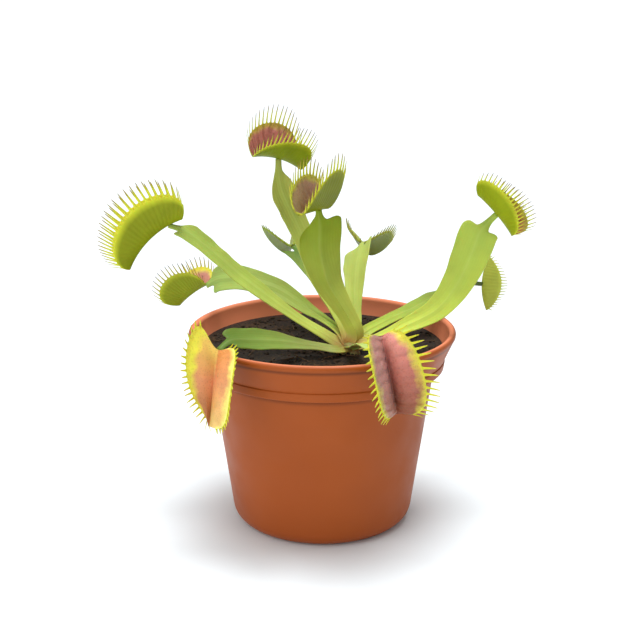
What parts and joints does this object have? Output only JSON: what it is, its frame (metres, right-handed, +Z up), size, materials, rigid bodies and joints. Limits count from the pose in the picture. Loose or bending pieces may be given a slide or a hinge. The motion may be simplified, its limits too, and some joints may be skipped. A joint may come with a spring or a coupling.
{
  "type": "potted venus flytrap",
  "caption": "Venus flytrap with winged petioles and toothed hinged traps, growing as a rosette in a tapered round nursery pot of dark soil",
  "frame": {"origin": "centre of the flat disc in the middle of the pot's underside, on the surface that the pot stands on", "axes": "+Z up along the pot's axis; -Y towards the side that the plant is shown from, with the front traps hanging over the rim; +X to the right as seen from there"},
  "size_m": [0.1416, 0.1063, 0.1402],
  "materials": {
    "pot_plastic": "satin",
    "soil": "matte",
    "leaf_base": "satin",
    "petiole": "satin",
    "trap": "satin"
  },
  "bodies": {
    "root": {"pot": "pot_plastic", "soil": "soil", "rootstock": "leaf_base", "petiole_far_left": "petiole", "petiole_mid_left": "petiole", "petiole_front_left": "petiole", "petiole_front_right": "petiole", "petiole_centre": "petiole", "petiole_tall": "petiole", "petiole_back": "petiole", "petiole_back_left": "petiole", "petiole_right": "petiole", "petiole_right_back": "petiole", "trap_far_left": "trap", "trap_mid_left": "trap", "trap_front_left": "trap", "trap_front_right": "trap", "trap_centre": "trap", "trap_tall": "trap", "trap_back": "trap", "trap_back_left": "trap", "trap_right": "trap", "trap_right_back": "trap"}
  },
  "joints": []
}
